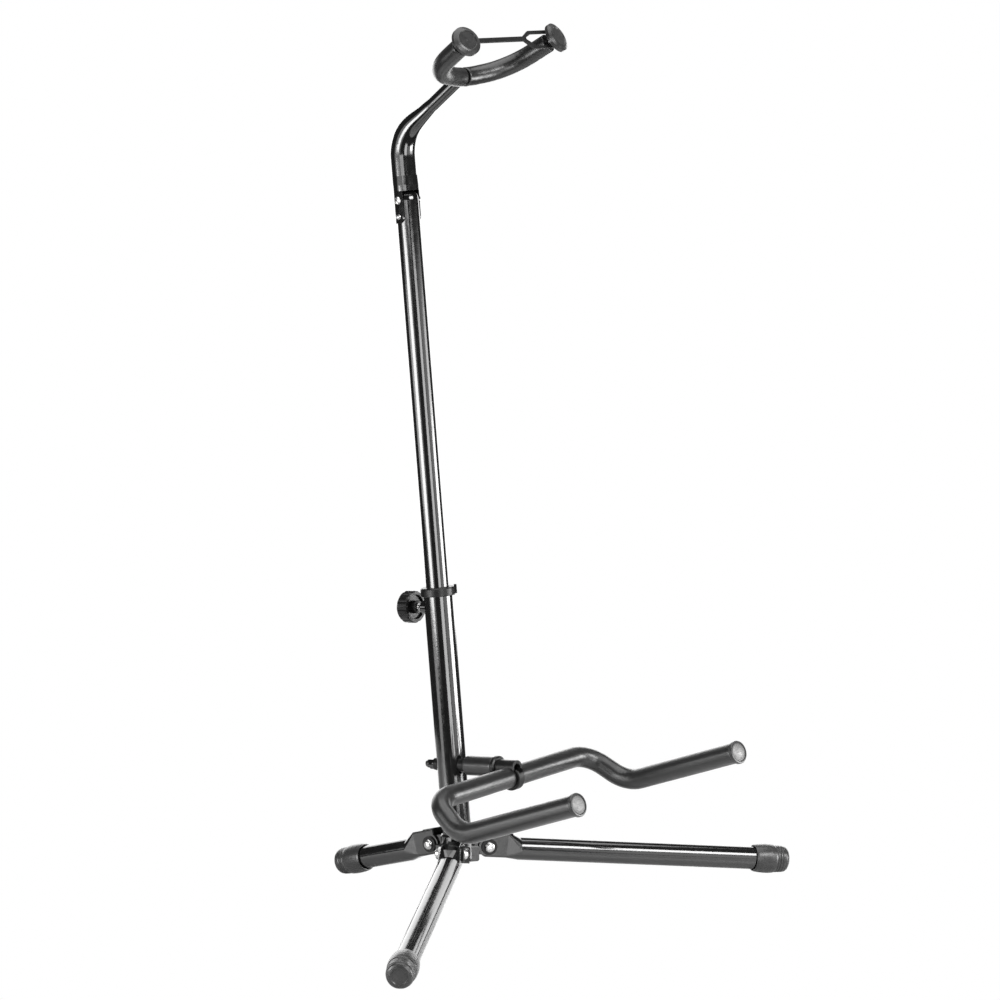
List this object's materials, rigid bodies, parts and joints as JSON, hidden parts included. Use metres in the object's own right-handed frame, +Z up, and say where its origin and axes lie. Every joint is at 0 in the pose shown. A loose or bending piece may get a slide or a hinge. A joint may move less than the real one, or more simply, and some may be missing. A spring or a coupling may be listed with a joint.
{
  "type": "guitar stand",
  "caption": "Folding tubular guitar stand: sliding leaning post on hinged legs, swivelling foam-padded cradle, and a fold-down padded neck yoke with a rubber retaining strap.",
  "frame": {"origin": "on the floor, straight below the point where the post's axis meets the level of the leg pivots", "axes": "+Z up; -Y is the front, where the guitar stands; +X is to the right of someone who looks at the stand from the front"},
  "size_m": [0.529, 0.3666, 0.7556],
  "materials": {
    "black_paint": "glossy black powder coat on steel tube",
    "black_plastic": "moulded black plastic, semi-gloss",
    "white_plastic": "natural nylon, matte",
    "black_rubber": "moulded dark rubber, satin",
    "strap_rubber": "flat rubber band, satin",
    "foam": "closed-cell foam sleeve, matte with a fine skin",
    "zinc": "bright zinc plate",
    "brushed_zinc": "dull zinc plate with a fine brushed grain",
    "spring_steel": "spring steel strip"
  },
  "bodies": {
    "base": {"hub": "black_paint", "post_tube": "black_paint", "post_collar": "black_plastic", "clamp_boss": "black_paint", "leg_bolts": "zinc", "leg_nuts": "zinc", "leg_washers": "black_plastic", "front_saddle": "black_plastic", "rear_saddle": "black_plastic"},
    "leg_front_left": {"leg_tube_front_left": "black_paint", "foot_front_left": "black_rubber"},
    "leg_front_right": {"leg_tube_front_right": "black_paint", "foot_front_right": "black_rubber"},
    "leg_rear": {"leg_tube_rear": "black_paint", "foot_rear": "black_rubber"},
    "mast": {"mast_tube": "black_paint", "mast_bush": "white_plastic", "pivot_screw": "zinc", "pivot_nut": "zinc", "button_spring": "spring_steel"},
    "button": {"snap_button": "zinc"},
    "neck": {"neck_tube": "black_paint", "yoke_rod": "black_paint", "yoke_foam_left": "foam", "yoke_foam_right": "foam", "yoke_cap_left": "black_rubber", "yoke_cap_right": "black_rubber", "yoke_strap": "strap_rubber"},
    "knob": {"knob_head": "black_plastic", "knob_screw": "zinc"},
    "cradle": {"cradle_rod": "black_paint", "cradle_stem": "black_paint", "stem_foam": "foam", "stem_ring": "black_plastic", "stem_flange": "black_plastic", "rod_clip": "black_plastic", "cradle_foam_left": "foam", "cradle_foam_right": "foam", "cradle_cap_left": "black_rubber", "cradle_cap_right": "black_rubber", "cradle_disc_left": "brushed_zinc", "cradle_disc_right": "brushed_zinc", "stem_stud": "zinc", "stem_washer": "black_paint", "stem_nut": "black_paint"}
  },
  "joints": [
    {"name": "leg_fold_front_left", "type": "hinge", "parent": "base", "child": "leg_front_left", "pos_m": [-0.02179, -0.01362, 0.044], "axis": [0.5299, -0.848, 0], "range_deg": [0, 80]},
    {"name": "leg_fold_front_right", "type": "hinge", "parent": "base", "child": "leg_front_right", "pos_m": [0.02179, -0.01362, 0.044], "axis": [0.5299, 0.848, 0], "range_deg": [0, 80]},
    {"name": "leg_fold_rear", "type": "hinge", "parent": "base", "child": "leg_rear", "pos_m": [0, 0.0257, 0.044], "axis": [-1, 0, 0], "range_deg": [0, 72]},
    {"name": "height_slide", "type": "slide", "parent": "base", "child": "mast", "axis": [0, 0.1011, 0.9949], "range_m": [-0.07, 0.03]},
    {"name": "knob_turn", "type": "hinge", "parent": "base", "child": "knob", "pos_m": [0, 0.02125, 0.25322], "axis": [0, 0.9949, -0.1011], "range_deg": [0, 720]},
    {"name": "neck_fold", "type": "hinge", "parent": "mast", "child": "neck", "pos_m": [0, 0.0569, 0.60412], "axis": [1, 0, 0], "range_deg": [0, 75], "deforming": ["snap_button"]},
    {"name": "button_press", "type": "slide", "parent": "mast", "child": "button", "axis": [1, 0, 0], "range_m": [0, 0.0043], "stiffness_N_per_m": 500, "springref_m": -0.002, "deforming": ["button_spring"]},
    {"name": "cradle_swivel", "type": "hinge", "parent": "base", "child": "cradle", "pos_m": [0, 0.00733, 0.11613], "axis": [0, 0.9949, -0.1011], "range_deg": [-87.9, 92.1]}
  ]
}
